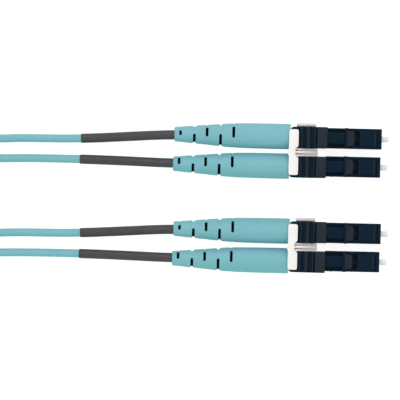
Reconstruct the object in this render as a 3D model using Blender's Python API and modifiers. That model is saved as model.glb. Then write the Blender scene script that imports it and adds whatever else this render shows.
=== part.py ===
"""Duplex fibre optic patch cord: both plug ends, their cord legs and the coiled rest of the cord.

Row frame, in metres: +X along the plugs towards the ferrule tips, +Y from end B to end A, +Z up, latches on
top. The origin is below the middle of the two plug ends, on the surface that they lie on. Each plug is
modelled in its own frame, whose origin is the middle of its front face, so a piece that lies s behind the
front face is at x = -s.
"""

import math

import bmesh
import bpy
from mathutils import Matrix, Vector

MM = 0.001

# Where the plugs are
PLUG_PITCH = 6.25 * MM
END_SPACING = 20.95 * MM
FRONT_FACES_X = {"a1": 22.1 * MM, "a2": 21.92 * MM, "b1": 22.35 * MM, "b2": 22.17 * MM}
AXIS_HEIGHT = 2.85 * MM
PLUG_ROWS = {
    "a1": END_SPACING / 2 + PLUG_PITCH / 2,
    "a2": END_SPACING / 2 - PLUG_PITCH / 2,
    "b1": -END_SPACING / 2 + PLUG_PITCH / 2,
    "b2": -END_SPACING / 2 - PLUG_PITCH / 2,
}

# Plug sizes
HOUSING_WIDTH = 4.5 * MM
REAR_WIDTH = 4.7 * MM
LUG_WIDTH = 4.65 * MM
FERRULE_RADIUS = 0.625 * MM
FIBRE_RADIUS = 0.42 * MM
LATCH_PIVOT = Vector((-1.6, 0, 2.3)) * MM
LATCH_SLOPE = math.radians(8.5)
TRIGGER_PIVOT = Vector((-17.75, 0, 2.75)) * MM
SPRING_ENDS = (-8.55 * MM, -13.05 * MM)
SPRING_RADIUS = 1.05 * MM
SPRING_WIRE = 0.125 * MM
SPRING_TURNS = 4
SLOT_WIDTH = 0.52 * MM
SLOT_PLACES = (44.5, 41.4, 38.6, 35.6, 32.7)
TOP_SLOT_ANGLES = (-12, 47)
SIDE_SLOT_ANGLES = (-60, 5)

# Cord sizes
JACKET_RADIUS = 0.9 * MM
SLEEVE_RADIUS = 1.06 * MM
SLEEVE_WALL = 0.11 * MM
LEG_START_X = -3.5 * MM
SLEEVE_SPAN = (31.1 * MM, 66.45 * MM)  # behind the plug's front face
STATION_SPACING = 4.6 * MM
STRAND_PITCH = 1.86 * MM
COIL_CENTRE = Vector((-93.3, -0.7, 0)) * MM
COIL_MEAN_RADIUS = 17.55 * MM
COIL_STRANDS = 4
COIL_BASE = 0.7 * MM
TIE_WIDTH = 5 * MM
TIE_THICKNESS = 0.6 * MM
TIE_ANGLES = {"coil_tie_1": 120, "coil_tie_2": 240}

INNER_STEPS = 12
BOOT_STEPS = 16
COIL_STEPS = 28
SMOOTH_ANGLE = math.radians(40)

# The seen stretch of the upper and lower leg of an end: x, y from the middle of the end, z
UPPER_LEG = [
    (-3.5, 3.125, 2.85),
    (-14, 3.125, 2.85),
    (-23, 3.12, 2.85),
    (-28, 2.93, 2.76),
    (-33, 2.6, 2.4),
    (-38, 2.26, 1.82),
    (-43, 1.97, 1.32),
    (-48, 1.78, 1.02),
    (-53, 1.73, 0.92),
    (-58, 1.67, 0.9),
    (-62.3, 1.475, 0.9),
]
LOWER_LEG = [
    (-3.5, -3.125, 2.85),
    (-14, -3.125, 2.85),
    (-23, -3.14, 2.85),
    (-28, -3.08, 2.76),
    (-33, -2.94, 2.4),
    (-38, -2.83, 1.82),
    (-43, -2.75, 1.32),
    (-48, -2.71, 1.02),
    (-53, -2.72, 0.92),
    (-58, -2.79, 0.9),
    (-62.3, -2.91, 0.9),
]
# From there to the coil: x, y, z
TO_COIL = {
    "a1": [(-65, 12.16, 0.92), (-68, 12.87, 1.0), (-71.5, 13.93, 1.2), (-75, 14.99, 1.4), (-78.2, 15.96, 1.55)],
    "a2": [(-65, 7.86, 0.92), (-68, 8.81, 1.02), (-71.2, 10.14, 1.25), (-74.4, 11.46, 1.5)],
    "b1": [(-65, -9.27, 1.1), (-68, -10.21, 1.75), (-71.2, -11.54, 2.65), (-74.4, -12.86, 3.35)],
    "b2": [(-65, -13.57, 1.0), (-68, -14.27, 1.4), (-71.5, -15.33, 2.2), (-75, -16.39, 3.0), (-78.2, -17.36, 3.45)],
}


# Scene, materials and objects


def clear_scene():
    for obj in list(bpy.data.objects):
        bpy.data.objects.remove(obj)


def collection(name):
    made = bpy.data.collections.new(name)
    bpy.context.scene.collection.children.link(made)
    return made


def material(name, colour, roughness, metallic=0.0):
    made = bpy.data.materials.new(name)
    made.use_nodes = True
    shader = made.node_tree.nodes["Principled BSDF"]
    shader.inputs["Base Color"].default_value = (*colour, 1)
    shader.inputs["Roughness"].default_value = roughness
    shader.inputs["Metallic"].default_value = metallic
    return made


def make_materials():
    return {
        "navy": material("navy_plastic", (0.008, 0.016, 0.03), 0.35),
        "ceramic": material("white_ceramic", (0.78, 0.77, 0.76), 0.15),
        "steel": material("nickel_steel", (0.55, 0.55, 0.56), 0.25, 1.0),
        "fibre": material("buffered_fibre", (0.6, 0.62, 0.55), 0.4),
        "aqua": material("aqua_plastic", (0.21, 0.49, 0.55), 0.45),
        "jacket": material("aqua_jacket", (0.21, 0.49, 0.56), 0.5),
        "black": material("black_sleeve", (0.075, 0.07, 0.075), 0.5),
        "white": material("white_clip", (0.9, 0.88, 0.85), 0.4),
        "strap": material("black_strap", (0.02, 0.02, 0.022), 0.9),
    }


def add_object(name, data, paint, home, parent=None, place=(0, 0, 0)):
    obj = bpy.data.objects.new(name, data)
    home.objects.link(obj)
    obj.location = place
    obj.parent = parent
    if paint is not None and not data.materials:
        data.materials.append(paint)
    return obj


def in_mm(points):
    return [tuple(value * MM for value in point) for point in points]


# Shapes, each a mesh


def mesh_of(obj, welded=False):
    """The object's shape as a new mesh, placed as it stands, and the object removed."""
    graph = bpy.context.evaluated_depsgraph_get()
    mesh = bpy.data.meshes.new_from_object(obj.evaluated_get(graph))
    mesh.transform(obj.matrix_world)
    mesh.materials.clear()
    if welded:
        shape = bmesh.new()
        shape.from_mesh(mesh)
        bmesh.ops.remove_doubles(shape, verts=shape.verts, dist=0.001 * MM)
        shape.to_mesh(mesh)
        shape.free()
    bpy.data.objects.remove(obj)
    return mesh


def scratch(data):
    obj = bpy.data.objects.new("scratch", data)
    bpy.context.scene.collection.objects.link(obj)
    return obj


def box_mesh(low, high, bevel=0.0):
    mesh = bpy.data.meshes.new("box")
    shape = bmesh.new()
    bmesh.ops.create_cube(shape, size=1)
    centre = [(a + b) / 2 for a, b in zip(low, high)]
    size = [b - a for a, b in zip(low, high)]
    bmesh.ops.scale(shape, vec=size, verts=shape.verts)
    bmesh.ops.translate(shape, vec=centre, verts=shape.verts)
    shape.to_mesh(mesh)
    shape.free()
    return rounded(mesh, bevel) if bevel else mesh


def rounded(mesh, width):
    obj = scratch(mesh)
    bevel = obj.modifiers.new("edges", "BEVEL")
    bevel.width = width
    bevel.segments = 1
    bevel.limit_method = "ANGLE"
    return mesh_of(obj)


def outline_mesh(outline, low, high, turn):
    """A flat outline in the local XY plane, from low to high along local Z, turned into the row frame."""
    curve = bpy.data.curves.new("outline", "CURVE")
    curve.dimensions = "2D"
    curve.fill_mode = "BOTH"
    curve.extrude = (high - low) / 2
    spline = curve.splines.new("POLY")
    spline.points.add(len(outline) - 1)
    for point, (across, along) in zip(spline.points, outline):
        point.co = (across, along, 0, 1)
    spline.use_cyclic_u = True
    obj = scratch(curve)
    obj.matrix_world = turn @ Matrix.Translation((0, 0, (low + high) / 2))
    return mesh_of(obj, welded=True)


def side_outline(outline, half_width):
    """An outline in x and z, as wide as the plug's piece."""
    return outline_mesh(outline, -half_width, half_width, Matrix.Rotation(math.pi / 2, 4, "X"))


def plan_outline(outline, low, high):
    return outline_mesh(outline, low, high, Matrix.Identity(4))


def turned_mesh(profile, steps, axis="X"):
    """The closed profile of (distance along the axis, radius) turned once round it."""
    mesh = bpy.data.meshes.new("profile")
    shape = bmesh.new()
    along = Vector((1, 0, 0)) if axis == "X" else Vector((0, 0, 1))
    out = Vector((0, 0, 1)) if axis == "X" else Vector((1, 0, 0))
    corners = [shape.verts.new(along * a + out * r) for a, r in profile]
    on_axis = profile[0][1] == 0 and profile[-1][1] == 0
    for first, second in zip(corners, corners[1:] + ([] if on_axis else corners[:1])):
        shape.edges.new((first, second))
    shape.to_mesh(mesh)
    shape.free()
    obj = scratch(mesh)
    screw = obj.modifiers.new("turn", "SCREW")
    screw.axis = axis
    screw.steps = screw.render_steps = steps
    screw.use_merge_vertices = True
    screw.merge_threshold = 0.00001
    screw.use_normal_calculate = True
    made = mesh_of(obj)
    face_outwards(made)
    return made


def face_outwards(mesh):
    shape = bmesh.new()
    shape.from_mesh(mesh)
    bmesh.ops.recalc_face_normals(shape, faces=shape.faces)
    shape.to_mesh(mesh)
    shape.free()


def combined(mesh, others, operation):
    """The mesh with the others joined to it or cut from it."""
    obj = scratch(mesh)
    tools = []
    for other in others:
        tool = scratch(other)
        tool.hide_render = True
        tool.display_type = "WIRE"
        step = obj.modifiers.new("step", "BOOLEAN")
        step.operation = operation
        step.object = tool
        tools.append(tool)
    made = mesh_of(obj)
    for tool in tools:
        bpy.data.objects.remove(tool)
    return made


def joined(mesh, *others):
    return combined(mesh, others, "UNION")


def cut(mesh, *others):
    return combined(mesh, others, "DIFFERENCE")


def smooth_shading(mesh):
    mesh.shade_smooth()
    mesh.set_sharp_from_angle(angle=SMOOTH_ANGLE)
    return mesh


def moved(mesh, offset):
    mesh.transform(Matrix.Translation(offset))
    return mesh


# The pieces of a plug, in the plug's frame


def housing_mesh():
    outline = in_mm([(0, -2.25), (0, 2.25), (-1.0, 2.25), (-1.2, 1.95), (-12, 1.95), (-12, -2.25)])
    shell = rounded(side_outline(outline, HOUSING_WIDTH / 2), 0.2 * MM)
    bore = turned_mesh(
        in_mm([(1, 0), (1, 1.45), (-5.2, 1.45), (-5.2, 1.0), (-6, 1.0), (-6, 1.7), (-13, 1.7), (-13, 0)]),
        INNER_STEPS,
    )
    windows = box_mesh((-11 * MM, -3 * MM, -0.6 * MM), (-9.9 * MM, 3 * MM, 0.6 * MM))
    return cut(shell, bore, windows)


def latch_mesh():
    """The lever lies flat here, with its pivot at the origin, and is then tilted up to its slope."""
    half_lug = LUG_WIDTH / MM / 2
    one_side = [(0.3, 1.65), (-3.3, 1.65), (-3.4, 1.05), (-4.45, 1.05), (-4.75, 1.6), (-6.07, 1.6)]
    one_side += [(-6.07, half_lug), (-6.88, half_lug), (-6.88, 1.18), (-11.0, 1.18), (-11.27, 0.95)]
    outline = one_side + [(x, -y) for x, y in reversed(one_side)]
    lever = plan_outline(in_mm(outline), -0.28 * MM, 0.28 * MM)
    ramp = side_outline(in_mm([(-4.8, 0.1), (-6.3, 0.1), (-6.3, 0.58), (-6.1, 0.58)]), 1.59 * MM)
    lugs = box_mesh((-6.87 * MM, -2.31 * MM, -0.45 * MM), (-6.08 * MM, 2.31 * MM, 0.5 * MM))
    made = joined(lever, ramp, lugs)
    made.transform(Matrix.Rotation(LATCH_SLOPE, 4, "Y"))
    return made


def rear_body_mesh():
    half = REAR_WIDTH / MM / 2
    one_side = [(-12.25, half), (-19.4, half), (-19.9, 2.2), (-20, 2.0)]
    plan = one_side + [(x, -y) for x, y in reversed(one_side)]
    shell = plan_outline(in_mm(plan), -2.35 * MM, 2.25 * MM)
    rear_deck = box_mesh((-19.9 * MM, -1.9 * MM, 2.0 * MM), (-18.3 * MM, 1.9 * MM, 2.8 * MM))
    spigot = turned_mesh(in_mm([(-9.6, 0), (-9.6, 1.6), (-12.6, 1.6), (-12.6, 0)]), INNER_STEPS)
    catches = box_mesh((-10.8 * MM, -2.15 * MM, -0.45 * MM), (-10.1 * MM, 2.15 * MM, 0.45 * MM))
    bore = turned_mesh(
        in_mm([(-9, 0), (-9, 1.3), (-13.2, 1.3), (-13.2, 1.8), (-21, 1.8), (-21, 0)]), INNER_STEPS
    )
    return cut(joined(shell, rear_deck, spigot, catches), bore)


def trigger_mesh():
    underside = [(-18.05, 2.95), (-18.05, 2.42), (-17.2, 2.42), (-12.9, 4.4), (-12.25, 4.5)]
    land = [(-12.1, 4.62), (-12.25, 4.82), (-13.95, 5.1)]
    ribs = [(-14.05, 4.62), (-14.5, 4.42), (-14.6, 4.62), (-14.8, 4.55), (-14.9, 4.25), (-15.8, 3.85)]
    ribs += [(-15.9, 4.1), (-16.6, 3.8), (-16.7, 3.5), (-17.2, 3.3), (-17.3, 3.5), (-17.65, 3.36)]
    return moved(side_outline(in_mm(underside + land + ribs), REAR_WIDTH / 2), -TRIGGER_PIVOT)


def ferrule_mesh():
    radius = FERRULE_RADIUS / MM
    return turned_mesh(in_mm([(1.7, 0), (1.7, 0.42), (1.5, radius), (-7.3, radius), (-7.3, 0)]), INNER_STEPS)


def ferrule_holder_mesh():
    outside = [(-4.2, 0.67), (-4.2, 0.92), (-6.08, 0.92), (-6.08, 1.6), (-8.3, 1.6), (-8.3, 0.8), (-11.5, 0.8)]
    inside = [(-11.5, 0.5), (-7.45, 0.5), (-7.45, 0.67)]
    return turned_mesh(in_mm(outside + inside), INNER_STEPS)


def fibre_mesh():
    radius = FIBRE_RADIUS / MM
    return turned_mesh(in_mm([(-7.6, 0), (-7.6, radius), (-24.2, radius), (-24.2, 0)]), INNER_STEPS // 2)


def backpost_mesh():
    outside = [(-13.3, 0.7), (-13.3, 1.7), (-14.8, 1.7), (-14.8, 1.15), (-16.8, 1.15), (-16.8, 1.35)]
    return turned_mesh(in_mm(outside + [(-24.4, 1.35), (-24.4, 0.7)]), INNER_STEPS)


def crimp_ring_mesh():
    return turned_mesh(in_mm([(-20.5, 1.45), (-20.5, 1.75), (-24, 1.75), (-24, 1.45)]), INNER_STEPS)


def spring_mesh():
    """An open coil round the ferrule holder's tail, from the holder to the backpost."""
    front, back = SPRING_ENDS
    count = SPRING_TURNS * 8
    curve = bpy.data.curves.new("spring", "CURVE")
    curve.dimensions = "3D"
    curve.bevel_depth = SPRING_WIRE
    curve.bevel_resolution = 0
    curve.use_fill_caps = True
    spline = curve.splines.new("POLY")
    spline.points.add(count)
    for step, point in enumerate(spline.points):
        angle = 2 * math.pi * step / 8
        x = front + (back - front) * step / count
        point.co = (x, SPRING_RADIUS * math.cos(angle), SPRING_RADIUS * math.sin(angle), 1)
    return mesh_of(scratch(curve), welded=True)


def sector_mesh(place, angles):
    """A slot's cutter: a sector from the plug's axis, with angles from straight up towards +Y."""
    low, high = (math.radians(a) for a in angles)
    reach = 4 * MM
    rim = [low + (high - low) * step / 3 for step in range(4)]
    outline = [(0, 0)] + [(reach * math.sin(a), reach * math.cos(a)) for a in rim]
    across = Matrix(((0, 0, 1, 0), (1, 0, 0, 0), (0, 1, 0, 0), (0, 0, 0, 1)))
    middle = -place * MM
    return outline_mesh(outline, middle - SLOT_WIDTH / 2, middle + SLOT_WIDTH / 2, across)


def boot_mesh():
    outside = [(-20.15, 2.1), (-20.15, 2.72), (-20.35, 2.82), (-25, 2.82), (-31.5, 2.735), (-34, 2.62)]
    outside += [(-37, 2.38), (-41, 2.03), (-45.5, 1.66), (-45.9, 1.55)]
    inside = [(-45.9, 1.25), (-25.3, 1.25), (-25.3, 2.1)]
    body = turned_mesh(in_mm(outside + inside), BOOT_STEPS)
    slots = []
    for number, place in enumerate(SLOT_PLACES):
        angles = SIDE_SLOT_ANGLES if number % 2 else TOP_SLOT_ANGLES
        slots.append(sector_mesh(place, angles))
    for slot in slots:
        face_outwards(slot)
    return cut(body, *slots)


# The pieces of an end and of the cord


def clip_mesh():
    """The clip in its own frame, midway between its two plugs."""
    floor = box_mesh((-18.7 * MM, -5.64 * MM, -2.85 * MM), (-14.4 * MM, 6.36 * MM, -2.42 * MM))
    web = box_mesh((-19.99 * MM, -0.72 * MM, -2.8 * MM), (-14 * MM, 0.72 * MM, 1.6 * MM))
    rib = box_mesh((-19 * MM, -0.32 * MM, 1 * MM), (-14.01 * MM, 0.12 * MM, 2.7 * MM))
    post = box_mesh((-19.95 * MM, -0.7 * MM, 1 * MM), (-18.5 * MM, 0.7 * MM, 3 * MM))
    outer_wall = box_mesh((-18.69 * MM, 5.525 * MM, -2.8 * MM), (-14.41 * MM, 6.35 * MM, 0.8 * MM))
    inner_wall = box_mesh((-18.6 * MM, -5.65 * MM, -2.8 * MM), (-14.41 * MM, -5.525 * MM, 0.8 * MM))
    bar = box_mesh((-20.6 * MM, -5.2 * MM, 2.87 * MM), (-18.3 * MM, 4.9 * MM, 3.5 * MM), 0.3 * MM)
    return joined(floor, web, rib, post, outer_wall, inner_wall, bar)


def coil_mesh():
    """The ring that the wound cord fills."""
    half = COIL_STRANDS * STRAND_PITCH / 2
    inner, outer = COIL_MEAN_RADIUS - half, COIL_MEAN_RADIUS + half
    top = COIL_BASE + 2 * half
    edge = 0.6 * MM
    profile = [(COIL_BASE, inner + edge), (COIL_BASE + edge, inner), (top - edge, inner), (top, inner + edge)]
    profile += [(top, outer - edge), (top - edge, outer), (COIL_BASE + edge, outer), (COIL_BASE, outer - edge)]
    return turned_mesh(profile, COIL_STEPS, axis="Z")


def tie_mesh():
    """A strap round the ring's section, which is turned to its place on the ring."""
    half = COIL_STRANDS * STRAND_PITCH / 2 + 0.1 * MM
    low = TIE_THICKNESS
    high = COIL_BASE + 2 * half
    inner, outer = COIL_MEAN_RADIUS - half, COIL_MEAN_RADIUS + half
    band = box_mesh(
        (inner - TIE_THICKNESS, -TIE_WIDTH / 2, 0),
        (outer + TIE_THICKNESS, TIE_WIDTH / 2, high + TIE_THICKNESS),
        0.4 * MM,
    )
    bow = TIE_WIDTH * TIE_WIDTH / 8 / inner
    hole = box_mesh((inner - bow, -TIE_WIDTH, low), (outer, TIE_WIDTH, high))
    return cut(band, hole)


# Cord legs


def smooth_route(points):
    """Close points on a Catmull-Rom curve through the route's own points."""
    ends = [2 * points[0] - points[1]] + points + [2 * points[-1] - points[-2]]
    made = []
    for before, start, end, after in zip(ends, ends[1:], ends[2:], ends[3:]):
        for step in range(16):
            t = step / 16
            made.append(
                0.5
                * (
                    2 * start
                    + (end - before) * t
                    + (2 * before - 5 * start + 4 * end - after) * t**2
                    + (3 * start - before - 3 * end + after) * t**3
                )
            )
    return made + [points[-1]]


def at_x(route, x):
    """The point of a route, which runs towards -X, at this x."""
    for first, second in zip(route, route[1:]):
        if second.x <= x:
            return first.lerp(second, (first.x - x) / (first.x - second.x))
    return route[-1]


def sleeve_ends(plug):
    return [FRONT_FACES_X[plug] - distance for distance in SLEEVE_SPAN]


def leg_stations(plug):
    """The leg's points, read from its smooth route, with one at each end of its shrink sleeve."""
    middle = Vector((0, math.copysign(END_SPACING / 2, PLUG_ROWS[plug]), 0))
    seen = UPPER_LEG if plug.endswith("1") else LOWER_LEG
    points = [Vector(point) * MM + middle for point in seen]
    points += [Vector(point) * MM for point in TO_COIL[plug]]
    route = smooth_route(points)
    marks = [LEG_START_X, *sleeve_ends(plug), points[-1].x]
    made = []
    for start, end in zip(marks, marks[1:]):
        count = max(1, round((start - end) / STATION_SPACING))
        made += [at_x(route, start + (end - start) * step / count) for step in range(count)]
    return made + [points[-1]]


def tube_curve(stations, radius, capped):
    curve = bpy.data.curves.new("tube", "CURVE")
    curve.dimensions = "3D"
    curve.twist_mode = "Z_UP"
    curve.bevel_depth = radius
    curve.bevel_resolution = 2
    curve.use_fill_caps = capped
    spline = curve.splines.new("POLY")
    spline.points.add(len(stations) - 1)
    for point, station in zip(spline.points, stations):
        point.co = (*station, 1)
    return curve


def sleeve_mesh(plug):
    front, back = sleeve_ends(plug)
    tiny = 0.001 * MM
    stations = [p for p in leg_stations(plug) if back - tiny <= p.x <= front + tiny]
    obj = scratch(mesh_of(scratch(tube_curve(stations, SLEEVE_RADIUS, False)), welded=True))
    wall = obj.modifiers.new("wall", "SOLIDIFY")
    wall.thickness = SLEEVE_WALL
    wall.offset = -1
    wall.use_even_offset = True
    return mesh_of(obj)


# Putting it together


def plug_shapes(paint):
    """Each piece of a plug: name, mesh, material, and where its own origin is in the plug's frame."""
    still = (0, 0, 0)
    return [
        ("housing", housing_mesh(), paint["navy"], still),
        ("latch", latch_mesh(), paint["navy"], LATCH_PIVOT),
        ("rear_body", rear_body_mesh(), paint["navy"], still),
        ("trigger", trigger_mesh(), paint["navy"], TRIGGER_PIVOT),
        ("ferrule", ferrule_mesh(), paint["ceramic"], still),
        ("ferrule_holder", ferrule_holder_mesh(), paint["steel"], still),
        ("buffered_fibre", fibre_mesh(), paint["fibre"], still),
        ("spring", spring_mesh(), paint["steel"], still),
        ("backpost", backpost_mesh(), paint["steel"], still),
        ("crimp_ring", crimp_ring_mesh(), paint["steel"], still),
        ("boot", boot_mesh(), paint["aqua"], still),
    ]


def add_plugs(paint, home):
    shapes = plug_shapes(paint)
    for _, mesh, _, _ in shapes:
        smooth_shading(mesh)
    for plug, row in PLUG_ROWS.items():
        frame = bpy.data.objects.new("plug_" + plug, None)
        home.objects.link(frame)
        frame.location = (FRONT_FACES_X[plug], row, AXIS_HEIGHT)
        for name, mesh, colour, place in shapes:
            add_object(name + "_" + plug, mesh, colour, home, frame, place)


def add_clips(paint, home):
    mesh = clip_mesh()
    for end, side in (("a", 1), ("b", -1)):
        middle = (FRONT_FACES_X[end + "1"] + FRONT_FACES_X[end + "2"]) / 2
        place = (middle, side * END_SPACING / 2, AXIS_HEIGHT)
        add_object("duplex_clip_" + end, mesh, paint["white"], home, place=place)


def add_cord(paint, home):
    for plug in PLUG_ROWS:
        sleeve = smooth_shading(sleeve_mesh(plug))
        add_object("shrink_sleeve_" + plug, sleeve, paint["black"], home)
        leg = tube_curve(leg_stations(plug), JACKET_RADIUS, True)
        add_object("cord_leg_" + plug, leg, paint["jacket"], home)
    coil = smooth_shading(coil_mesh())
    add_object("cord_coil", coil, paint["jacket"], home, place=COIL_CENTRE)
    strap = tie_mesh()
    for name, degrees in TIE_ANGLES.items():
        tie = add_object(name, strap, paint["strap"], home, place=COIL_CENTRE)
        tie.rotation_euler.z = math.radians(degrees)


def main():
    clear_scene()
    paint = make_materials()
    home = collection("patch_cord")
    add_plugs(paint, home)
    add_clips(paint, home)
    add_cord(paint, home)


main()
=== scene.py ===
"""The looks of the duplex fibre optic patch cord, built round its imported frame.

Each plug's pieces are made in the plug's own frame, in millimetres: the origin is the middle of its front
face, +x points out of the plug and +z to its latch. A shape is scaled to metres when it becomes a piece.
"""

import math

import bmesh
import bpy
from mathutils import Matrix, Vector, noise


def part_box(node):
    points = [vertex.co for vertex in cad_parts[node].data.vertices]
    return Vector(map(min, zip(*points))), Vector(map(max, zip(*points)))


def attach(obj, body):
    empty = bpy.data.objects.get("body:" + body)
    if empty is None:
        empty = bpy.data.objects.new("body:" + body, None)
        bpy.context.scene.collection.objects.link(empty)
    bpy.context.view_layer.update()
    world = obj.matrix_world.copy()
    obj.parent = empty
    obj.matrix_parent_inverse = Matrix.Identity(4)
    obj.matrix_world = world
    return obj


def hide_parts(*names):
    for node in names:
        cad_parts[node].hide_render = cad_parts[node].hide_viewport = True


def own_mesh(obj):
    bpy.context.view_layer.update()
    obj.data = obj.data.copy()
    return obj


MM = 0.001
PLUGS = ("a1", "a2", "b1", "b2")
ROUND_STEPS = 96
CORNER_STEPS = 4

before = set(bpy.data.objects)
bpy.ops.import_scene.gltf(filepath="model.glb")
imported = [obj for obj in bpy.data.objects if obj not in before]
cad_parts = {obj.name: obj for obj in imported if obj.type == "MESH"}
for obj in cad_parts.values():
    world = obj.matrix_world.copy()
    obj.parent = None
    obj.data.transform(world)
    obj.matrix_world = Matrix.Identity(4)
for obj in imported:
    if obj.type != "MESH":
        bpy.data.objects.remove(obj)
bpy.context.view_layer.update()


# Where the frame puts things, in metres


def plug_origin(plug):
    low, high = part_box("housing_" + plug)
    pin_low, pin_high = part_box("ferrule_" + plug)
    return Vector((high.x, (low.y + high.y) / 2, (pin_low.z + pin_high.z) / 2))


ORIGINS = {plug: plug_origin(plug) for plug in PLUGS}
END_MIDDLES = {end: (ORIGINS[end + "1"] + ORIGINS[end + "2"]) / 2 for end in "ab"}
# The play in the clip: how far a plug's rear body and its boot stand to the side of its housing's axis
REAR_PLAY = {"1": 0.03 * MM, "2": -0.26 * MM}
BOOT_PLAY = {"1": 0.17 * MM, "2": -0.15 * MM}
REAR_ORIGINS = {plug: ORIGINS[plug] + Vector((0, REAR_PLAY[plug[1]], 0)) for plug in PLUGS}
BOOT_ORIGINS = {plug: ORIGINS[plug] + Vector((0, BOOT_PLAY[plug[1]], 0)) for plug in PLUGS}


# Shapes, each a mesh in millimetres


def mesh_from(shape):
    bmesh.ops.recalc_face_normals(shape, faces=shape.faces)
    mesh = bpy.data.meshes.new("shape")
    shape.to_mesh(mesh)
    shape.free()
    return mesh


def changed(mesh, kind, **settings):
    """The mesh after one modifier."""
    obj = bpy.data.objects.new("scratch", mesh)
    bpy.context.scene.collection.objects.link(obj)
    modifier = obj.modifiers.new(kind, kind)
    for name, value in settings.items():
        setattr(modifier, name, value)
    graph = bpy.context.evaluated_depsgraph_get()
    made = bpy.data.meshes.new_from_object(obj.evaluated_get(graph))
    bpy.data.objects.remove(obj)
    return made


def combined(mesh, tools, operation):
    for tool in tools:
        other = bpy.data.objects.new("tool", tool)
        bpy.context.scene.collection.objects.link(other)
        mesh = changed(mesh, "BOOLEAN", operation=operation, object=other)
        bpy.data.objects.remove(other)
    return mesh


def joined(mesh, *tools):
    return combined(mesh, tools, "UNION")


def cut(mesh, *tools):
    return combined(mesh, tools, "DIFFERENCE")


def eased(mesh, width, segments=3):
    """The mesh with its edges rounded."""
    return changed(
        mesh,
        "BEVEL",
        width=width,
        segments=segments,
        limit_method="ANGLE",
        angle_limit=math.radians(30),
    )


def filleted(corners):
    """A closed outline whose corners (a, b, radius) are rounded; a corner (a, b) stays sharp."""
    made = []
    count = len(corners)
    for index, (a, b, *rest) in enumerate(corners):
        here = Vector((a, b))
        if not rest:
            made.append(here)
            continue
        before = Vector(corners[index - 1][:2]) - here
        after = Vector(corners[(index + 1) % count][:2]) - here
        half = before.angle(after) / 2
        run = min(rest[0] / math.tan(half), before.length / 2.05, after.length / 2.05)
        start = here + before.normalized() * run
        end = here + after.normalized() * run
        for step in range(CORNER_STEPS + 1):
            t = step / CORNER_STEPS
            made.append(start * (1 - t) ** 2 + here * 2 * t * (1 - t) + end * t**2)
    return made


def mirrored(one_side):
    """A closed outline from the half of it that has a positive second number."""
    return one_side + [(a, -b, *rest) for a, b, *rest in reversed(one_side)]


def prism(corners, low, high, plane):
    """A flat outline pushed from low to high. Its plane is side (x, z) or plan (x, y)."""
    place = {
        "side": lambda a, b, c: (a, c, b),
        "plan": lambda a, b, c: (a, b, c),
    }[plane]
    outline = filleted(corners)
    shape = bmesh.new()
    bottom = [shape.verts.new(place(a, b, low)) for a, b in outline]
    top = [shape.verts.new(place(a, b, high)) for a, b in outline]
    shape.faces.new(bottom)
    shape.faces.new(top)
    for index in range(len(outline)):
        shape.faces.new((bottom[index - 1], bottom[index], top[index], top[index - 1]))
    return mesh_from(shape)


def block(low, high):
    """A box, for edges to be eased or to cut with."""
    corners = [(low[0], low[1]), (high[0], low[1]), (high[0], high[1]), (low[0], high[1])]
    return prism(corners, low[2], high[2], "plan")


def lofted(rings, closed):
    """A skin over rings of points. A closed one joins its last ring to its first; an open one is capped."""
    shape = bmesh.new()
    made = [[shape.verts.new(point) for point in ring] for ring in rings]
    pairs = list(zip(made, made[1:]))
    if closed:
        pairs.append((made[-1], made[0]))
    else:
        shape.faces.new(made[0])
        shape.faces.new(made[-1])
    for first, second in pairs:
        for index in range(len(first)):
            shape.faces.new((first[index - 1], first[index], second[index], second[index - 1]))
    return mesh_from(shape)


def turned(profile, steps=ROUND_STEPS):
    """A profile of (x, radius) turned round the x axis: a solid between its ends, or a closed ring."""
    solid = profile[0][1] == 0
    inner = profile[1:-1] if solid else profile
    shape = bmesh.new()
    rings = []
    for x, radius in inner:
        angles = [2 * math.pi * step / steps for step in range(steps)]
        rings.append([shape.verts.new((x, radius * math.sin(a), radius * math.cos(a))) for a in angles])
    pairs = list(zip(rings, rings[1:]))
    if solid:
        for ring, (x, _) in ((rings[0], profile[0]), (rings[-1], profile[-1])):
            tip = shape.verts.new((x, 0, 0))
            for index in range(steps):
                shape.faces.new((ring[index - 1], ring[index], tip))
    else:
        pairs.append((rings[-1], rings[0]))
    for first, second in pairs:
        for index in range(steps):
            shape.faces.new((first[index - 1], first[index], second[index], second[index - 1]))
    return mesh_from(shape)


def curve_through(points, parts):
    """Close points on a Catmull-Rom curve through points; parts(start, end) is how many a stretch gets."""
    ends = [2 * points[0] - points[1], *points, 2 * points[-1] - points[-2]]
    made = []
    for before, start, end, after in zip(ends, ends[1:], ends[2:], ends[3:]):
        count = parts(start, end)
        made += [catmull_rom(before, start, end, after, step / count) for step in range(count)]
    return made + [points[-1]]


def catmull_rom(before, start, end, after, t):
    return 0.5 * (
        2 * start
        + (end - before) * t
        + (2 * before - 5 * start + 4 * end - after) * t**2
        + (3 * start - before - 3 * end + after) * t**3
    )


def shaded(mesh, degrees=32):
    mesh.shade_smooth()
    mesh.set_sharp_from_angle(angle=math.radians(degrees))
    return mesh


# Pieces


def placed(name, data, finish, body, replaces, origin=(0, 0, 0)):
    """A mesh or curve in metres becomes a piece of the object, in the place of the CAD nodes it replaces."""
    obj = bpy.data.objects.new(name, data)
    bpy.context.scene.collection.objects.link(obj)
    obj.location = origin
    obj.data.materials.clear()
    obj.data.materials.append(finish)
    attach(obj, body)
    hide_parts(*replaces)
    return obj


def in_metres(mesh):
    mesh.transform(Matrix.Scale(MM, 4))
    return mesh


# Materials

# The part of a noise's range that a change of colour or gloss is spread over
NOISE_LOW, NOISE_HIGH = 0.3, 0.7
COLOUR_SCALE = 420
GLOSS_SCALE = 900
PILE_SCALE = 3200


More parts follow.
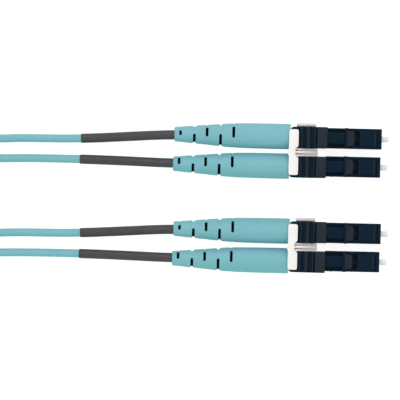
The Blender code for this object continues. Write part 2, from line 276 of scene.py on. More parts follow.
class Finish:
    """A Principled material and short ways to add nodes to it."""

    def __init__(self, name, roughness, metallic=0.0, specular=0.5):
        self.material = bpy.data.materials.new(name)
        self.material.use_nodes = True
        self.nodes = self.material.node_tree.nodes
        self.links = self.material.node_tree.links
        self.shader = self.nodes["Principled BSDF"]
        self.shader.inputs["Roughness"].default_value = roughness
        self.shader.inputs["Metallic"].default_value = metallic
        self.shader.inputs["Specular IOR Level"].default_value = specular
        self.place = self.nodes.new("ShaderNodeTexCoord").outputs["Object"]

    def set(self, **values):
        for name, value in values.items():
            self.shader.inputs[name.replace("_", " ")].default_value = value
        return self

    def noise(self, scale, detail):
        node = self.nodes.new("ShaderNodeTexNoise")
        node.inputs["Scale"].default_value = scale
        node.inputs["Detail"].default_value = detail
        self.links.new(self.place, node.inputs["Vector"])
        return node.outputs["Fac"]

    def ramp(self, value, low, high):
        """The value turned to a colour, by two stops of (position, colour)."""
        node = self.nodes.new("ShaderNodeValToRGB")
        for stop, (position, colour) in zip(node.color_ramp.elements, (low, high)):
            stop.position = position
            stop.color = (*colour, 1)
        self.links.new(value, node.inputs["Fac"])
        return node.outputs["Color"]

    def span(self, value, low, high):
        """A noise spread from low to high."""
        node = self.nodes.new("ShaderNodeMapRange")
        node.inputs["From Min"].default_value = NOISE_LOW
        node.inputs["From Max"].default_value = NOISE_HIGH
        node.inputs["To Min"].default_value = low
        node.inputs["To Max"].default_value = high
        self.links.new(value, node.inputs["Value"])
        return node.outputs["Result"]

    def colour(self, value):
        self.links.new(value, self.shader.inputs["Base Color"])

    def rough(self, value):
        self.links.new(value, self.shader.inputs["Roughness"])

    def bump(self, height, strength, distance):
        node = self.nodes.new("ShaderNodeBump")
        node.inputs["Strength"].default_value = strength
        node.inputs["Distance"].default_value = distance
        self.links.new(height, node.inputs["Height"])
        self.links.new(node.outputs["Normal"], self.shader.inputs["Normal"])


def mottled(name, colour, change, roughness, grain, grain_depth, specular=0.5, metallic=0.0):
    """A moulded or drawn surface: a slow change of colour, a finer one of gloss, and a grain."""
    finish = Finish(name, roughness, metallic, specular)
    darker = tuple(c * (1 - change) for c in colour)
    lighter = tuple(min(1.0, c * (1 + change)) for c in colour)
    colours = finish.noise(COLOUR_SCALE, 4)
    finish.colour(finish.ramp(colours, (NOISE_LOW, darker), (NOISE_HIGH, lighter)))
    finish.rough(finish.span(finish.noise(GLOSS_SCALE, 3), roughness * 0.85, roughness * 1.15))
    finish.bump(finish.noise(grain, 2), 0.6, grain_depth)
    return finish


def navy_plastic():
    finish = mottled(
        "navy_plastic",
        colour=(0.0036, 0.0082, 0.0192),
        change=0.16,
        roughness=0.36,
        grain=9000,
        grain_depth=0.000006,
        specular=0.16,
    )
    return finish.set(Specular_Tint=(0.3, 0.7, 1.0, 1))


def grained_navy_with_painted_highlight():
    """The matt, grained tops of the triggers and latches, whose lighter colour is a painted highlight for
    the light they catch.
    """
    return mottled(
        "grained_navy_with_painted_highlight",
        colour=(0.009, 0.0142, 0.0252),
        change=0.2,
        roughness=0.5,
        grain=6000,
        grain_depth=0.00002,
        specular=0.2,
    )


def white_ceramic():
    return mottled(
        "white_ceramic",
        colour=(0.86, 0.85, 0.835),
        change=0.015,
        roughness=0.14,
        grain=15000,
        grain_depth=0.0000004,
    )


def nickel_steel():
    return mottled(
        "nickel_steel",
        colour=(0.56, 0.55, 0.53),
        change=0.06,
        roughness=0.3,
        grain=6000,
        grain_depth=0.000002,
        metallic=1.0,
    )


def buffered_fibre():
    return mottled(
        "buffered_fibre",
        colour=(0.6, 0.62, 0.55),
        change=0.04,
        roughness=0.4,
        grain=9000,
        grain_depth=0.000003,
    )


def aqua_elastomer():
    return mottled(
        "aqua_elastomer",
        colour=(0.186, 0.449, 0.502),
        change=0.022,
        roughness=0.5,
        grain=7000,
        grain_depth=0.000006,
        specular=0.4,
    )


def painted_slot_shade():
    """Painted shade: a dark colour put on the insides of slots and gaps, where shade falls."""
    return mottled(
        "painted_slot_shade",
        colour=(0.006, 0.008, 0.013),
        change=0.2,
        roughness=0.7,
        grain=7000,
        grain_depth=0.000006,
        specular=0.1,
    )


def aqua_jacket():
    return mottled(
        "aqua_jacket",
        colour=(0.186, 0.446, 0.502),
        change=0.022,
        roughness=0.46,
        grain=5000,
        grain_depth=0.000006,
        specular=0.4,
    )


def black_shrink_sleeve():
    finish = mottled(
        "black_shrink_sleeve",
        colour=(0.041, 0.0385, 0.0425),
        change=0.1,
        roughness=0.34,
        grain=4200,
        grain_depth=0.00001,
    )
    return finish.set(Specular_Tint=(1.0, 0.94, 0.97, 1))


def white_clip_plastic():
    finish = mottled(
        "white_clip_plastic",
        colour=(0.93, 0.868, 0.85),
        change=0.012,
        roughness=0.38,
        grain=8000,
        grain_depth=0.000003,
        specular=0.4,
    )
    depth = (0.0012, 0.001, 0.0009)
    return finish.set(Subsurface_Weight=0.25, Subsurface_Radius=depth, Subsurface_Scale=1.0)


def black_strap():
    """Hook-and-loop strap: a dark pile of small loops."""
    finish = Finish("black_strap", 0.9, specular=0.2)
    pile = finish.nodes.new("ShaderNodeTexVoronoi")
    pile.inputs["Scale"].default_value = PILE_SCALE
    finish.links.new(finish.place, pile.inputs["Vector"])
    loops = pile.outputs["Distance"]
    finish.colour(finish.ramp(loops, (0.1, (0.03, 0.03, 0.032)), (0.7, (0.008, 0.008, 0.009))))
    finish.bump(loops, 0.9, 0.00012)
    return finish.set(Sheen_Weight=0.25, Sheen_Roughness=0.5)


def make_finishes():
    made = {
        "navy": navy_plastic(),
        "grained_highlight": grained_navy_with_painted_highlight(),
        "ceramic": white_ceramic(),
        "steel": nickel_steel(),
        "buffer": buffered_fibre(),
        "boot": aqua_elastomer(),
        "shade": painted_slot_shade(),
        "jacket": aqua_jacket(),
        "sleeve": black_shrink_sleeve(),
        "clip": white_clip_plastic(),
        "strap": black_strap(),
    }
    return {key: finish.material for key, finish in made.items()}


# The plug's shapes

HOUSING_HALF = 2.25
HOUSING_END = -12
DECK_TOP = 1.95
REAR_HALF = 2.35
# How far a cutter reaches to each side
REACH = 3

# The housing's bore as (x, radius): mouth, seat of the ferrule holder, room for the spring and the spigot
HOUSING_BORE = [
    (0.3, 0),
    (0.3, 1.75),
    (0, 1.62),
    (-0.17, 1.45),
    (-5.2, 1.45),
    (-5.2, 1.0),
    (-6, 1.0),
    (-6, 1.7),
    (-13, 1.7),
    (-13, 0),
]
# The windows through both sides for the spigot's catches
SNAP_WINDOW = [(-11, -0.6, 0.15), (-9.9, -0.6, 0.15), (-9.9, 0.6, 0.15), (-11, 0.6, 0.15)]
# The long troughs in the deck, as (low y, high y)
TROUGHS = ((-1.85, -1.1), (1.1, 1.85))

LATCH_ROOT = Vector((-1.6, 0, 2.3))
LATCH_SLOPE = 8.5
LATCH_HALF = 1.66
LATCH_TAIL_HALF = 1.2
LATCH_NECK_HALF = 0.6
LATCH_RAMP_HALF = 1.63
LATCH_LUG_HALF = 2.31
LATCH_BOTTOM = -0.28

# The trigger's land, the tops of its ribs and its root, from low to high x, which get the grain and a
# painted highlight
TRIGGER_TOPS = ((-18.05, -17.6), (-16.65, -15.88), (-14.9, -14.7), (-14.3, -12.05))

FERRULE_RADIUS = 0.625
FERRULE_STEPS = 64


def housing_shape():
    """The front shell: a square tube with a raised nose, a lower deck, snap windows and troughs."""
    nose = [(0, HOUSING_HALF, 0.12), (-0.72, HOUSING_HALF, 0.1), (-0.86, DECK_TOP, 0.05)]
    side = [(0, -HOUSING_HALF, 0.1), *nose, (HOUSING_END, DECK_TOP), (HOUSING_END, -HOUSING_HALF)]
    shell = eased(prism(side, -HOUSING_HALF, HOUSING_HALF, "side"), 0.2, 4)
    windows = prism(SNAP_WINDOW, -REACH, REACH, "side")
    troughs = [block((-11.9, low, 1.4), (-8.35, high, 2.2)) for low, high in TROUGHS]
    gap = block((-5.95, -LATCH_HALF, 1.6), (-4.95, LATCH_HALF, 2.2))
    return shaded(cut(shell, turned(HOUSING_BORE), windows, *troughs, gap))


def latch_shape():
    """The latch lever, made flat from its root and then tilted: tail, pad, lower neck, ramp and lugs."""
    tail = mirrored([(-4.5, LATCH_TAIL_HALF), (-11.27, LATCH_TAIL_HALF, 0.15)])
    tail = eased(prism(tail, LATCH_BOTTOM, 0.24, "plan"), 0.06, 2)
    pad = mirrored([(-3.45, LATCH_HALF, 0.15), (0.32, LATCH_HALF, 0.2)])
    pad = eased(prism(pad, LATCH_BOTTOM, 0.34, "plan"), 0.08, 3)
    lip = prism([(0.0, 0.42), (0.5, 0.42), (0.5, 0.11), (0.0, 0.3)], -REACH, REACH, "side")
    under_neck = [(-3.25, LATCH_BOTTOM), (-3.6, -0.7), (-4.4, -0.72), (-4.8, LATCH_BOTTOM)]
    over_neck = [(-4.8, -0.02), (-4.5, -0.35), (-3.5, -0.35), (-3.25, -0.02)]
    neck = prism(under_neck + over_neck, -LATCH_NECK_HALF, LATCH_NECK_HALF, "side")
    ramp = mirrored([(-6.2, LATCH_RAMP_HALF), (-4.72, LATCH_RAMP_HALF, 0.4)])
    ramp = eased(prism(ramp, LATCH_BOTTOM, 0.65, "plan"), 0.06, 2)
    slope = prism([(-6.5, 1), (-4, 1), (-4, 0.04), (-6.5, 0.6)], -REACH, REACH, "side")
    lugs = eased(block((-6.7, -LATCH_LUG_HALF, -0.4), (-5.95, LATCH_LUG_HALF, 0.5)), 0.06, 2)
    made = joined(tail, neck, cut(pad, lip), cut(ramp, slope), lugs)
    made.transform(Matrix.Rotation(math.radians(LATCH_SLOPE), 4, "Y"))
    made.transform(Matrix.Translation(LATCH_ROOT))
    return shaded(made)


def rear_body_shape():
    """The rear shell: rounded rear shoulders, a deck for the clip, and the spigot with its catches."""
    one_side = [(-12.25, REAR_HALF), (-19.4, REAR_HALF, 0.3), (-19.9, 2.2, 0.15), (-20, 2.0, 0.08)]
    shell = eased(prism(mirrored(one_side), -REAR_HALF, HOUSING_HALF, "plan"), 0.18, 3)
    deck = eased(block((-19.9, -1.9, 2.0), (-18.3, 1.9, 2.8)), 0.12, 3)
    spigot = turned([(-9.6, 0), (-9.6, 1.5), (-9.7, 1.6), (-12.6, 1.6), (-12.6, 0)])
    catch = [(-10.8, -2.15), (-10.1, -1.75), (-10.1, 1.75), (-10.8, 2.15)]
    catches = prism(catch, -0.45, 0.45, "plan")
    bore = turned([(-9, 0), (-9, 1.3), (-13.2, 1.3), (-13.2, 1.8), (-21, 1.8), (-21, 0)])
    return shaded(cut(joined(shell, deck, spigot, catches), bore))


def trigger_shape():
    """The trigger: a smooth land over the latch's tail, then finger ribs down to its root."""
    root = [(-18.05, 2.95, 0.1), (-18.05, 2.42), (-17.2, 2.42, 0.3)]
    underside = [(-12.9, 4.4, 0.2), (-12.2, 4.5, 0.05)]
    land = [(-12.1, 4.68, 0.04), (-12.25, 4.82, 0.08), (-14.32, 5.08, 0.06)]
    valleys = [
        [(-14.4, 4.6, 0.04), (-14.58, 4.4, 0.04)],
        [(-15.06, 4.2, 0.04), (-15.8, 3.85, 0.04)],
        [(-16.74, 3.5, 0.04), (-17.18, 3.3, 0.04)],
    ]
    ribs = [
        [(-14.66, 4.63, 0.05), (-14.94, 4.52, 0.05)],
        [(-15.92, 4.12, 0.08), (-16.62, 3.82, 0.08)],
        [(-17.32, 3.52, 0.08), (-17.68, 3.34, 0.1)],
    ]
    side = root + underside + land
    for valley, rib in zip(valleys, ribs):
        side += valley + rib
    return shaded(eased(prism(side, -REAR_HALF, REAR_HALF, "side"), 0.06, 2))


def ferrule_shape():
    """The ceramic pin, with its polished dome and chamfer."""
    dome = [(1.7, 0), (1.7, 0.2), (1.69, 0.4), (1.66, 0.46)]
    chamfer = [(1.52, 0.61), (1.46, FERRULE_RADIUS)]
    rear = [(-7.2, FERRULE_RADIUS), (-7.3, 0.58), (-7.3, 0)]
    return shaded(turned(dome + chamfer + rear, FERRULE_STEPS))


# The boot

# The boot's skin as (distance behind the plug's front, radius)
BOOT_PROFILE = [
    (20.35, 2.82),
    (26, 2.81),
    (31.5, 2.735),
    (34.2, 2.605),
    (36.9, 2.375),
    (40.9, 2.03),
    (45.5, 1.64),
]
TAPER_STEP = 0.8
SLOT_PLACES = (44.55, 41.47, 38.67, 35.67, 32.78)
SLOT_HALF = 0.29
SLOT_DEPTH_RADIUS = 1.1
CUTTER_STEPS = 24
CAP_SHARES = (0.03, 0.12, 0.3, 0.6)
# Where round the boot a slot runs, in degrees from straight up towards +y
TOP_SLOT = (-12, 48)
SIDE_SLOT = (-84, 5)
FIRST_SLOTS = {"1": (-9, 31), "2": (-4, 58)}
# Grooves as (half width, depth)
DEEP_GROOVE = (0.46, 0.34)
FINE_GROOVE = (0.24, 0.13)
FAINT_GROOVE = (0.2, 0.05)


def boot_radius(place):
    """The radius of the boot's skin at a distance behind the plug's front."""
    for (start, first), (end, second) in zip(BOOT_PROFILE, BOOT_PROFILE[1:]):
        if start <= place <= end:
            return first + (second - first) * (place - start) / (end - start)
    return BOOT_PROFILE[-1][1]


def skin_cutter(place, angles, section, cap):
    """A cutter that follows the boot's skin through angles from straight up towards +y, in degrees.

    section is half of its outline, as (half width, radius) from the mouth down, and cap is how many degrees
    each of its ends takes to narrow to a point.
    """
    low, high = angles
    stations = [low + (high - low) * step / CUTTER_STEPS for step in range(CUTTER_STEPS + 1)]
    stations += [low + cap * share for share in CAP_SHARES]
    stations += [high - cap * share for share in CAP_SHARES]
    rings = []
    for angle in sorted(stations):
        inwards = min(angle - low, high - angle, cap) / cap
        width = max(0.12, math.sqrt(1 - (1 - inwards) ** 2))
        turn = math.radians(angle)
        halves = [(half * width, radius) for half, radius in section]
        outline = halves + [(-half, radius) for half, radius in reversed(halves)]
        rings.append([(-place + dx, r * math.sin(turn), r * math.cos(turn)) for dx, r in outline])
    return lofted(rings, closed=False)


def slot_cutter(place, angles):
    """A slot through the boot's wall, with a softened mouth."""
    skin = boot_radius(place)
    mouth = [(SLOT_HALF + 0.2, skin + 0.2), (SLOT_HALF + 0.06, skin + 0.01), (SLOT_HALF + 0.01, skin - 0.06)]
    section = [*mouth, (SLOT_HALF, skin - 0.1), (SLOT_HALF, SLOT_DEPTH_RADIUS)]
    return skin_cutter(place, angles, section, math.degrees(SLOT_HALF / skin) * 1.3)


def groove_cutter(place, angles, half, depth):
    """A V-shaped groove in the boot's skin."""
    skin = boot_radius(place)
    section = [(half * 1.5, skin + 0.2), (half, skin), (half * 0.25, skin - depth)]
    return skin_cutter(place, angles, section, 14)


def boot_shape(first_slot):
    """The strain relief: slots across its tapered tail, by turns from the top and from the side."""
    taper = [Vector((-place, radius)) for place, radius in BOOT_PROFILE]
    taper = curve_through(taper, lambda start, end: max(1, round((end - start).length / TAPER_STEP)))
    outside = [(-20.15, 2.1), (-20.15, 2.7), (-20.2, 2.78), *taper]
    outside += [(-45.75, 1.56), (-45.86, 1.46), (-45.9, 1.34)]
    inside = [(-45.82, 1.27), (-45.6, 1.25), (-38, 1.25), (-25.5, 1.25), (-25.3, 2.1)]
    body = turned([*outside, *inside])
    tools = []
    for number, place in enumerate(SLOT_PLACES):
        if number % 2:
            tools.append(slot_cutter(place, SIDE_SLOT))
            tools.append(groove_cutter(place, (-150, -50), *DEEP_GROOVE))
            tools.append(groove_cutter(place, (58, 150), *DEEP_GROOVE))
        else:
            tools.append(slot_cutter(place, first_slot if number == 0 else TOP_SLOT))
            tools.append(groove_cutter(place, (40, 112), *FINE_GROOVE))
            tools.append(groove_cutter(place, (-112, -58), *FAINT_GROOVE))
    return shaded(cut(body, *tools), 38)


# The clip

CLIP_BOTTOM = -2.85
# The outer walls and the grooves in the web's top, each as (low y, high y)
WALLS = ((-5.8, -5.7), (5.69, 6.35))
WEB_GROOVES = ((0.14, 0.42), (-0.64, -0.36))


def bar_outline():
    """The bar over the plugs' rears: a thin middle on the web and two wider pads."""
    front = [(-18.3, 4.9, 0.5), (-18.3, 1.25, 0.5), (-19.05, 0.55, 0.12)]
    front += [(-19.05, -0.75, 0.12), (-18.3, -1.45, 0.5), (-18.3, -5.2, 0.5)]
    rear = [(-20.42, -5.2, 0.5), (-20.42, -1.1, 0.8), (-20.58, -0.6, 0.5)]
    rear += [(-20.58, 0.3, 0.5), (-20.42, 0.8, 0.8), (-20.42, 4.9, 0.5)]
    return front + rear


def clip_shape():
    """The clip that holds two plugs: floor, grooved web, outer walls and the bar over the plugs' rears."""
    floor = eased(block((-18.7, -5.8, CLIP_BOTTOM), (-14.4, 6.36, -2.42)), 0.1, 2)
    web = eased(block((-19.99, -1.1, -2.8), (-14.0, 0.7, 2.8)), 0.06, 3)
    groove = [(-19.0, 1.7), (-14.2, 2.75), (-14.2, 3.5), (-19.0, 3.5)]
    grooves = [prism(groove, low, high, "side") for low, high in WEB_GROOVES]
    rib = eased(block((-19.2, -0.3, 2.0), (-14.1, 0.12, 3.1)), 0.06, 3)
    post = prism([(-19.95, 1), (-18.9, 1), (-18.9, 3.0), (-19.95, 3.0)], -0.7, 0.7, "side")
    walls = [eased(block((-18.6, low, -2.8), (-14.41, high, 0.8)), 0.05, 2) for low, high in WALLS]
    bar = eased(prism(bar_outline(), 2.87, 3.5, "plan"), 0.2, 4)
    # The floor is joined last: it shares a plane with the thin wall, and other orders leave open edges.
    return shaded(joined(cut(web, *grooves), bar, rib, post, *walls, floor))


# The cords: the points of their routes, in millimetres as in the frame

END_SPACING = (END_MIDDLES["a"].y - END_MIDDLES["b"].y) / MM
# An end's two legs, with y counted from the middle between its plugs
UPPER_LEG = [
    (-3.5, 3.125, 2.85),
    (-14, 3.125, 2.85),
    (-23, 3.12, 2.85),
    (-28, 2.93, 2.76),
    (-33, 2.6, 2.4),
    (-38, 2.26, 1.82),
    (-43, 1.97, 1.32),
    (-48, 1.78, 1.02),
    (-53, 1.73, 0.92),
    (-58, 1.67, 0.9),
    (-62.3, 1.475, 0.9),
]
LOWER_LEG = [
    (-3.5, -3.125, 2.85),
    (-14, -3.125, 2.85),
    (-23, -3.14, 2.85),
    (-28, -3.08, 2.76),
    (-33, -2.94, 2.4),
    (-38, -2.83, 1.82),
    (-43, -2.75, 1.32),
    (-48, -2.71, 1.02),
    (-53, -2.72, 0.92),
    (-58, -2.79, 0.9),
    (-62.3, -2.91, 0.9),
]
# From there to the coil, in the frame's own y
TO_COIL = {
    "a1": [
        (-65, 12.16, 0.92),
        (-68, 12.87, 1.0),
        (-71.5, 13.93, 1.2),
        (-75, 14.99, 1.4),
        (-78.2, 15.96, 1.55),
    ],
    "a2": [
        (-65, 7.86, 0.92),
        (-68, 8.81, 1.02),
        (-71.2, 10.14, 1.25),
        (-74.4, 11.46, 1.5),
    ],
    "b1": [
        (-65, -9.27, 1.1),
        (-68, -10.21, 1.75),
        (-71.2, -11.54, 2.65),
        (-74.4, -12.86, 3.35),
    ],
    "b2": [
        (-65, -13.57, 1.0),
        (-68, -14.27, 1.4),
        (-71.5, -15.33, 2.2),
        (-75, -16.39, 3.0),
        (-78.2, -17.36, 3.45),
    ],
}
JACKET_RADIUS = 0.9
JACKET_ROUNDNESS = 6
LEG_STEPS = 8
SLEEVE_RADIUS = 1.06
SLEEVE_BORE = 0.95
SLEEVE_WAVER = 0.012
SLEEVE_ROLL = 0.045
SLEEVE_STEPS = 40
STRAND_PITCH = 1.86
STEPS_PER_TURN = 48

COIL_LOW, COIL_HIGH = (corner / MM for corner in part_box("cord_coil"))
COIL_CENTRE = (COIL_LOW + COIL_HIGH) / 2
COIL_OUTER = (COIL_HIGH.x - COIL_LOW.x) / 2
FIRST_LAYER = COIL_LOW.z + STRAND_PITCH / 2
# The pair's turns as (strands inwards from the outermost, layer): down the inside wall of turns, then back
TURNS = [(0, 0), (2, 0), (2, 1), (2, 2), (2, 3), (0, 3), (0, 2), (0, 1)]
# The angle at which the pair moves on to its next turn, and how far round it takes for that
MOVES = [(395, 30), (733.3, 16), (1086.7, 16), (1440, 16), (1793.3, 30), (2125, 16), (2478, 16)]
CORDS = {
    "cord_1": {"ends": ("a1", "b2"), "strand": 0, "enters": 73.1},
    "cord_2": {"ends": ("a2", "b1"), "strand": 1, "enters": 67.5},
}


def leg_points(plug):
    """The route's own points from inside the plug's boot to the coil."""
    middle = Vector((0, math.copysign(END_SPACING / 2, ORIGINS[plug].y), 0))
    seen = UPPER_LEG if plug.endswith("1") else LOWER_LEG
    return [Vector(point) + middle for point in seen] + [Vector(point) for point in TO_COIL[plug]]


def smooth_leg(plug, count):
    """The leg's route with count points for each stretch between its own points."""
    return curve_through(leg_points(plug), lambda start, end: count)


def wound_points(strand, enters):
    """The wound part of a cord: anticlockwise from above, through the pair's turns."""
    made = []
    leaves = 360 * len(TURNS) - enters
    count = round((leaves - enters) / 360 * STEPS_PER_TURN)
    for step in range(count + 1):
        angle = enters + (leaves - enters) * step / count
        inwards, layer = TURNS[0]
        for (next_inwards, next_layer), (middle, width) in zip(TURNS[1:], MOVES):
            t = min(1.0, max(0.0, (angle - middle) / width + 0.5))
            share = t * t * (3 - 2 * t)
            inwards += (next_inwards - inwards) * share
            layer += (next_layer - layer) * share
        radius = COIL_OUTER - (inwards + strand + 0.5) * STRAND_PITCH
        turn = math.radians(angle)
        x = COIL_CENTRE.x + radius * math.cos(turn)
        y = COIL_CENTRE.y + radius * math.sin(turn)
        made.append(Vector((x, y, FIRST_LAYER + layer * STRAND_PITCH)))
    return made


def cord_route(cord):
    first, last = CORDS[cord]["ends"]
    start = smooth_leg(first, LEG_STEPS)
    end = smooth_leg(last, LEG_STEPS)
    return start + wound_points(CORDS[cord]["strand"], CORDS[cord]["enters"]) + end[::-1]


def cord_curve(points):
    curve = bpy.data.curves.new("cord", "CURVE")
    curve.dimensions = "3D"
    curve.twist_mode = "Z_UP"
    curve.bevel_depth = JACKET_RADIUS * MM
    curve.bevel_resolution = JACKET_ROUNDNESS
    curve.use_fill_caps = True
    spline = curve.splines.new("POLY")
    spline.points.add(len(points) - 1)
    for point, place in zip(spline.points, points):
        point.co = (*(place * MM), 1)
    spline.use_smooth = True
    return curve


def tube_rings(points, radii, steps):
    """Rings round the points, each square to the line through its neighbours."""
    rings = []
    for index, (point, radius) in enumerate(zip(points, radii)):
        before = points[max(0, index - 1)]
        after = points[min(len(points) - 1, index + 1)]
        along = (after - before).normalized()
        side = along.cross(Vector((0, 0, 1))).normalized()
        up = side.cross(along)
        ring = []
        for step in range(steps):
            angle = 2 * math.pi * step / steps
            out = side * math.cos(angle) + up * math.sin(angle)
            ring.append(point + out * radius(out, point))
        rings.append(ring)
    return rings


def sleeve_shape(plug):
    """The shrink tube over the leg: close on the jacket, slightly uneven, with a rolled edge."""
    low, high = (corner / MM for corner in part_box("shrink_sleeve_" + plug))
    points = smooth_leg(plug, 2 * LEG_STEPS)
    points = [point for point in points if low.x + 0.15 < point.x < high.x - 0.1]
    first = Vector((high.x, *points[0].yz))
    last_run = (points[-1] - points[-2]).normalized()
    tail = points[-1] + last_run * ((low.x + 0.02 - points[-1].x) / last_run.x)
    points = [first, *points, tail]

    def skin(out, point):
        waver = noise.noise(Vector((point.x * 0.35, out.y, out.z)) + ORIGINS[plug] / MM)
        return SLEEVE_RADIUS - SLEEVE_WAVER + SLEEVE_WAVER * waver

    def rolled(out, point):
        return SLEEVE_RADIUS - SLEEVE_ROLL

    def bore(out, point):
        return SLEEVE_BORE

    radii = [rolled] + [skin] * (len(points) - 2) + [rolled]
    outer = tube_rings(points, radii, SLEEVE_STEPS)
    inner = tube_rings(points, [bore] * len(points), SLEEVE_STEPS)
    return shaded(lofted(outer + inner[::-1], closed=True))


def make_sleeve(plug, finishes):
    """The sleeve, whose end inside the boot gets painted shade, so it stays dark through the boot's slots.
    """
    mesh = in_metres(sleeve_shape(plug))
    node = "shrink_sleeve_" + plug
    made = placed("sleeve_" + plug, mesh, finishes["sleeve"], "root", [node])
    boot_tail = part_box("boot_" + plug)[0].x / MM
    # Painted shade on the sleeve's end inside the boot.
    painted(mesh, finishes["shade"], lambda middle, normal: middle.x > boot_tail)
    return made


def make_cords(finishes):
    for cord, facts in CORDS.items():
        ends = facts["ends"]
        nodes = ["cord_leg_" + plug for plug in ends] + ["cord_coil"]
        curve = cord_curve(cord_route(cord))
        obj = placed(cord, curve, finishes["jacket"], "root", nodes)
        sleeves = [make_sleeve(plug, finishes) for plug in ends]
        tie = make_tie("tie_" + cord[-1], "coil_tie_" + cord[-1], finishes)


# The coil's ties

COIL_WIDTH = 4 * STRAND_PITCH
TIE_MARGIN = 0.45
TIE_BOTTOM = 0.04
TIE_MIDDLE = 4.4
TIE_TOP = 8.75
TIE_CORNER = 1.1
TIE_THICKNESS = 0.5
TIE_HALF = 2.5


def make_tie(name, node, finishes):
    """A flat strap round the coil's section."""
    low, high = (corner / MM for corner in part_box(node))
    outwards = ((low + high) / 2 - COIL_CENTRE).xy
    angle = math.atan2(outwards.y, outwards.x)
    inner = COIL_OUTER - COIL_WIDTH - TIE_MARGIN
    outer = COIL_OUTER + TIE_MARGIN
    section = [(inner, TIE_BOTTOM), (outer, TIE_BOTTOM), (outer, TIE_TOP), (inner, TIE_TOP)]
    outline = filleted([(a, b, TIE_CORNER) for a, b in section])
    centre = Vector(((inner + outer) / 2, TIE_MIDDLE))
    rings = []
    for point in outline:
        shrink = 1 - TIE_THICKNESS / max(abs(point.x - centre.x), abs(point.y - centre.y))
        inside = centre + (point - centre) * shrink
        around = ((point, -TIE_HALF), (point, TIE_HALF), (inside, TIE_HALF), (inside, -TIE_HALF))
        rings.append([(p.x, y, p.y) for p, y in around])
    band = eased(lofted(rings, closed=True), 0.12, 2)
    band.transform(Matrix.Translation(COIL_CENTRE.xy.to_3d()) @ Matrix.Rotation(angle, 4, "Z"))
    return placed(name, in_metres(shaded(band)), finishes["strap"], "root", [node])


# Putting the object together


def copies(base, shape, finish, origins, moves=False):
    """One piece on each plug, all with the same mesh. A piece that moves rides on the body of its name."""
    in_metres(shape)
    for plug in PLUGS:
        node = base + "_" + plug
        body = node if moves else "root"
        placed(node + "_skin", shape, finish, body, [node], origins[plug])


def in_boot_slot(middle, normal):
    """The walls of a boot's slots, which get painted shade."""
    place = -middle.x
    return 31 < place < 45.4 and middle.yz.length < boot_radius(place) - 0.25


def painted(mesh, finish, chosen):
    """A second finish on the faces that are chosen by their middle and normal."""
    mesh.materials.append(finish)
    index = len(mesh.materials) - 1
    for face in mesh.polygons:
        if chosen(face.center / MM, face.normal):
            face.material_index = index


def on_grained_highlit_trigger(middle, normal):
    """The trigger's land and the tops of its ribs, which get the grain and a painted highlight."""
    return normal.z > 0.5 and any(low < middle.x < high for low, high in TRIGGER_TOPS)


def on_grained_highlit_latch(middle, normal):
    """The latch's ramp, grained and with a painted highlight, and the front edge of its root, where the
    lighter colour is only a painted highlight.
    """
    return normal.z > 0.3 and (-7.6 < middle.x < -6.0 or middle.x > -1.55)


def in_root_gap(middle, normal):
    """The deep gap between the latch's root and its ramp, which gets painted shade."""
    return -6.05 < middle.x < -4.93 and abs(middle.y) < 1.7 and 1.5 < middle.z < 2.78


def make_plugs(finishes):
    navy = finishes["navy"]
    housing = housing_shape()
    copies("housing", housing, navy, ORIGINS)
    # Painted shade in the deep gap behind the latch's root.
    painted(housing, finishes["shade"], in_root_gap)
    copies("rear_body", rear_body_shape(), navy, REAR_ORIGINS)
    trigger = trigger_shape()
    copies("trigger", trigger, navy, REAR_ORIGINS, moves=True)
    # Grain with a painted highlight on the trigger's land and rib tops.
    painted(trigger, finishes["grained_highlight"], on_grained_highlit_trigger)
    copies("ferrule", ferrule_shape(), finishes["ceramic"], ORIGINS, moves=True)
    latch = latch_shape()
    copies("latch", latch, navy, ORIGINS, moves=True)
    # Grain with a painted highlight on the latch's ramp, and a painted highlight line on its root's front
    # edge.
    painted(latch, finishes["grained_highlight"], on_grained_highlit_latch)
    # Painted shade on the latch's neck, in the same gap.
    painted(latch, finishes["shade"], in_root_gap)


def make_boots(finishes):
    """The boots of a row share a mesh: the rows differ in their first slot."""
    for row, first_slot in FIRST_SLOTS.items():
        mesh = in_metres(boot_shape(first_slot))
        for end in "ab":
            plug = end + row
            node = "boot_" + plug
            placed(node + "_skin", mesh, finishes["boot"], "root", [node], BOOT_ORIGINS[plug])
        # Painted shade on the boot's slot walls.
        painted(mesh, finishes["shade"], in_boot_slot)


def make_clips(finishes):
    mesh = in_metres(clip_shape())
    for end in "ab":
        node = "duplex_clip_" + end
        placed(node + "_skin", mesh, finishes["clip"], "root", [node], END_MIDDLES[end])


def make_springs(finishes):
    """The springs keep their CAD shape."""
    for plug in PLUGS:
        node = "spring_" + plug
        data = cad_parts[node].data.copy()
        made = placed(node + "_wire", data, finishes["steel"], "root", [node])
        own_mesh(made)


def paint_inner_nodes(finishes):
    """The other pieces inside the plugs keep their CAD nodes."""
    for base, finish in (
        ("ferrule_holder", "steel"),
        ("backpost", "steel"),
        ("crimp_ring", "steel"),
        ("buffered_fibre", "buffer"),
    ):
        for plug in PLUGS:
            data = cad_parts[base + "_" + plug].data
            data.materials.clear()
            data.materials.append(finishes[finish])


# Floor, light and camera

FLOOR_HALF = 1.5
FLOOR_DROP = 0.02 * MM
BRIGHT_SIDE = Vector((0.12, 0.7, 0.7)).normalized()
BRIGHT_COLOUR = (1.14, 1.08, 1.13, 1)
SHADE_COLOUR = (0.62, 0.95, 0.77, 1)
WORLD_STRENGTH = 0.95
KEY_PLACE = Vector((0.05, 0.35, 0.6))
KEY_TARGET = Vector((-0.01, 0, 0))
KEY_SIZE = 0.45
KEY_POWER = 0.5
VIEW_WIDTH = 88.7 * MM
VIEW_MIDDLE = Vector((-17.8, -0.725, 2.5)) * MM
VIEW_ROLL = 1.3
CAMERA_LENS = 400
CAMERA_SENSOR = 36


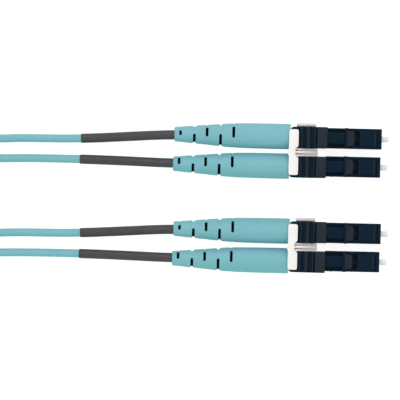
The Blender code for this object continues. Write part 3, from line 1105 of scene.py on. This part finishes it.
def make_floor():
    """A white floor that takes the object's shadow but throws no light or shade back at it."""
    finish = Finish("floor", 0.9, specular=0.0)
    finish.set(Base_Color=(0.3, 0.3, 0.3, 1), Emission_Color=(1, 1, 1, 1), Emission_Strength=0.9)
    shape = bmesh.new()
    bmesh.ops.create_grid(shape, x_segments=1, y_segments=1, size=FLOOR_HALF)
    floor = bpy.data.objects.new("floor", mesh_from(shape))
    floor.data.materials.append(finish.material)
    floor.location.z = -FLOOR_DROP
    floor.visible_diffuse = False
    floor.visible_glossy = False
    floor.visible_shadow = False
    bpy.context.scene.collection.objects.link(floor)


def make_world():
    """An even studio: brightest overhead and to +y, dimmer and a little green low on the other side."""
    world = bpy.data.worlds.new("studio")
    world.use_nodes = True
    nodes, links = world.node_tree.nodes, world.node_tree.links
    place = nodes.new("ShaderNodeTexCoord")
    along = nodes.new("ShaderNodeVectorMath")
    along.operation = "DOT_PRODUCT"
    along.inputs[1].default_value = BRIGHT_SIDE
    links.new(place.outputs["Generated"], along.inputs[0])
    spread = nodes.new("ShaderNodeMapRange")
    spread.inputs["From Min"].default_value = -1
    spread.inputs["From Max"].default_value = 1
    links.new(along.outputs["Value"], spread.inputs["Value"])
    ramp = nodes.new("ShaderNodeValToRGB")
    ramp.color_ramp.elements[0].color = SHADE_COLOUR
    ramp.color_ramp.elements[1].color = BRIGHT_COLOUR
    links.new(spread.outputs["Result"], ramp.inputs["Fac"])
    links.new(ramp.outputs["Color"], nodes["Background"].inputs["Color"])
    nodes["Background"].inputs["Strength"].default_value = WORLD_STRENGTH
    bpy.context.scene.world = world


def make_key_light():
    """A round softbox that faces the middle of the plugs."""
    light = bpy.data.lights.new("key", "AREA")
    light.shape = "DISK"
    light.size = KEY_SIZE
    light.energy = KEY_POWER
    obj = bpy.data.objects.new("key", light)
    bpy.context.scene.collection.objects.link(obj)
    obj.location = KEY_TARGET + KEY_PLACE
    obj.rotation_euler = (-KEY_PLACE).to_track_quat("-Z", "Y").to_euler()


def make_camera():
    """A long lens straight above, slightly rolled."""
    camera = bpy.data.cameras.new("camera")
    camera.lens = CAMERA_LENS
    camera.sensor_width = CAMERA_SENSOR
    camera.clip_start, camera.clip_end = 0.01, 10
    obj = bpy.data.objects.new("camera", camera)
    bpy.context.scene.collection.objects.link(obj)
    distance = VIEW_WIDTH * CAMERA_LENS / CAMERA_SENSOR
    obj.location = VIEW_MIDDLE + Vector((0, 0, distance))
    obj.rotation_euler.z = math.radians(VIEW_ROLL)
    bpy.context.scene.camera = obj


bpy.context.scene.view_settings.view_transform = "Standard"
make_camera()
make_floor()
make_world()
make_key_light()
FINISHES = make_finishes()
make_cords(FINISHES)
make_plugs(FINISHES)
make_boots(FINISHES)
make_clips(FINISHES)
make_springs(FINISHES)
paint_inner_nodes(FINISHES)
